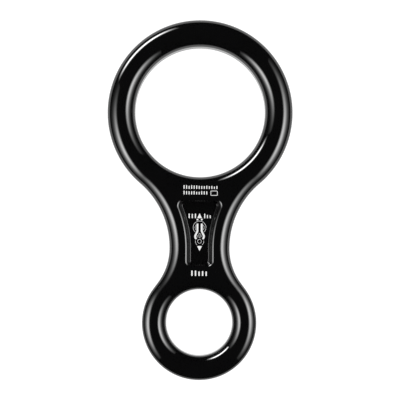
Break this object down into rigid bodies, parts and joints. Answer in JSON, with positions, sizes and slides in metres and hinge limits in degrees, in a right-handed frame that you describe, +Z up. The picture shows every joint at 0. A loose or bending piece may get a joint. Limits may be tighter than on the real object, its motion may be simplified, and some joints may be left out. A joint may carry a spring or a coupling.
{
  "type": "figure-eight rope descender",
  "caption": "Figure-eight rope descender: one forged anodised body with a large rope eye, a small connector eye, a recessed neck and light threading marks on its face.",
  "frame": {"origin": "middle of the footprint on the surface that the back face rests on", "axes": "+Y from the small eye to the large eye, +X across the body to the right as its marked face is seen, +Z up through the thickness, out of the marked face"},
  "size_m": [0.0772, 0.15, 0.0131],
  "materials": {
    "black_anodised": "polished, dyed black anodised coating",
    "light_marking": "matt white laser marking"
  },
  "bodies": {
    "root": {"descender_body": "black_anodised", "mark_code_row_upper": "light_marking", "mark_code_row_lower": "light_marking", "mark_code_row_batch": "light_marking", "mark_leaflet_frame": "light_marking", "mark_load_ticks_left": "light_marking", "mark_load_ticks_right": "light_marking", "mark_load_arrow_up": "light_marking", "mark_load_arrow_down": "light_marking", "mark_rope_tail_left": "light_marking", "mark_rope_tail_right": "light_marking", "mark_rope_strand_left": "light_marking", "mark_rope_strand_right": "light_marking", "mark_neck_line_left": "light_marking", "mark_neck_line_right": "light_marking", "mark_large_bore_line_left": "light_marking", "mark_large_bore_line_right": "light_marking", "mark_small_eye_line_left": "light_marking", "mark_small_eye_line_right": "light_marking", "mark_large_eye_line": "light_marking", "mark_small_bore_line": "light_marking", "mark_neck_slot": "light_marking"}
  },
  "joints": []
}
